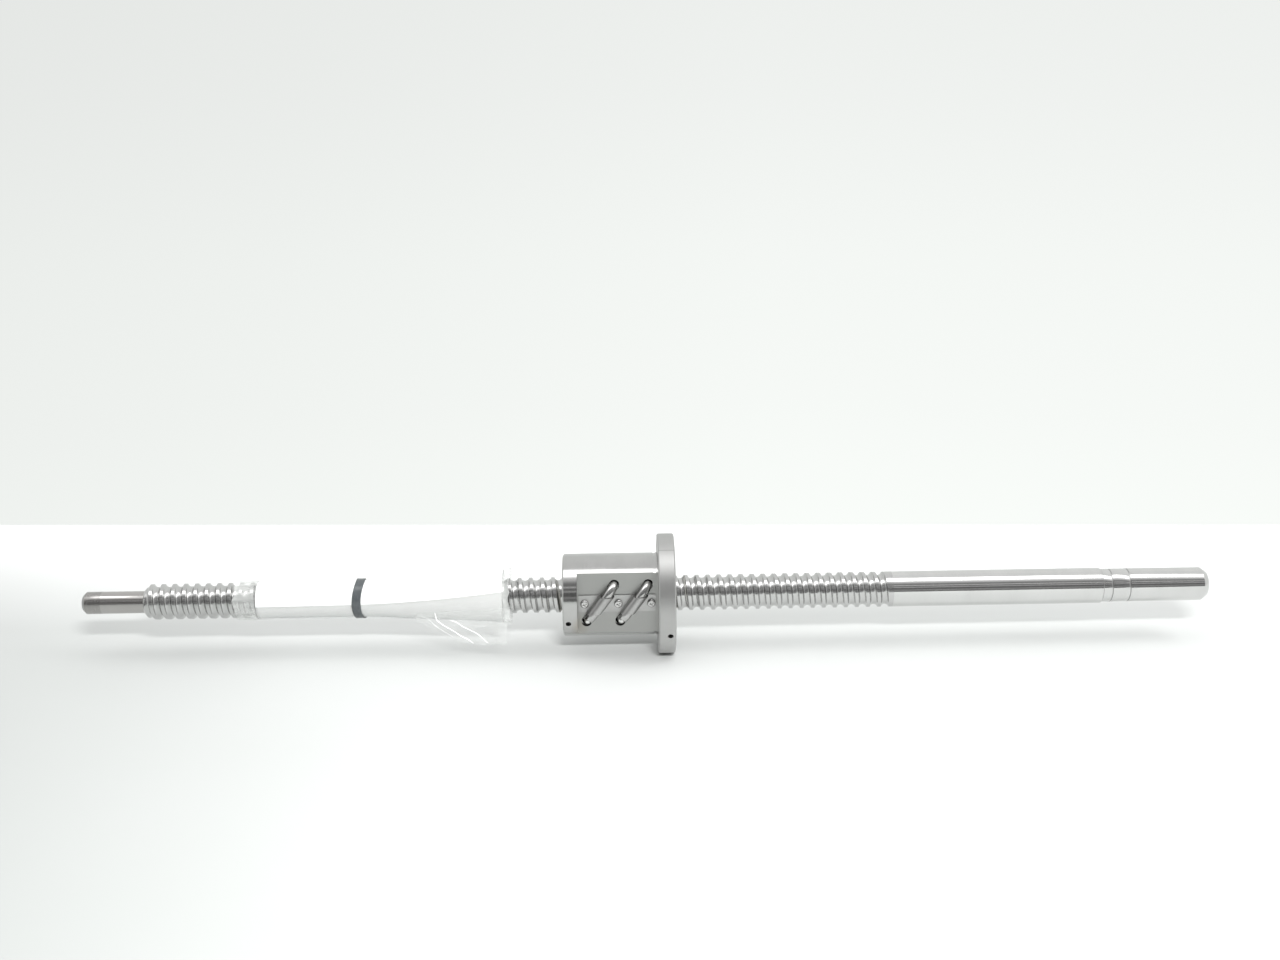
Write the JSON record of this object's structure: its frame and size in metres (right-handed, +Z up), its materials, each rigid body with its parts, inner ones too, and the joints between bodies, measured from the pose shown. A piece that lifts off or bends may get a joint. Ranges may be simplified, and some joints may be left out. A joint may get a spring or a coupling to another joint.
{
  "type": "ball screw assembly",
  "caption": "Ground ball screw with a flanged ball nut, external ball return tubes under a clamp strap, plain end journals, and paper and film packing tied round the thread.",
  "frame": {"origin": "on the screw axis, at the seating face of the nut flange (the face towards the nut barrel)", "axes": "+X along the screw axis from the nut barrel through the flange to the plain shank, +Z up, the nut's flat and return tubes face -Y"},
  "size_m": [1.014, 0.108, 0.108],
  "materials": {
    "ground_steel": "ground and polished thread and shank",
    "nut_steel": "satin ground",
    "tube_steel": "drawn tube",
    "strap_steel": "pressed sheet",
    "screw_zinc": "bright plated",
    "ball_steel": "polished",
    "wiper_plastic": "moulded",
    "set_screw_black": "black oxide",
    "paper": "plain",
    "film": "clear film",
    "band_rubber": "smooth"
  },
  "bodies": {
    "nut": {"nut_body": "nut_steel", "return_tube_1": "tube_steel", "return_tube_2": "tube_steel", "tube_clamp_strap": "strap_steel", "clamp_screw_left": "screw_zinc", "clamp_screw_middle": "screw_zinc", "clamp_screw_right": "screw_zinc", "loaded_balls_1": "ball_steel", "loaded_balls_2": "ball_steel", "return_balls_1": "ball_steel", "return_balls_2": "ball_steel", "wiper_left": "wiper_plastic", "wiper_right": "wiper_plastic", "wiper_set_screw_left": "set_screw_black", "wiper_set_screw_right": "set_screw_black"},
    "wrap": {"inspection_sheet": "paper", "film_bag": "film", "film_tail": "film", "retaining_band": "band_rubber"},
    "screw": {"screw_shaft": "ground_steel"}
  },
  "joints": [
    {"name": "screw_feed", "type": "slide", "parent": "nut", "child": "wrap", "axis": [1, 0, 0], "range_m": [-0.18, 0.04]},
    {"name": "screw_spin", "type": "hinge", "parent": "wrap", "child": "screw", "pos_m": [0, 0, 0], "axis": [1, 0, 0], "range_deg": [-6480, 1440]}
  ],
  "couplings": [
    {"joint": "screw_feed", "follows": "screw_spin", "m_per_rad": 0.0015915}
  ]
}
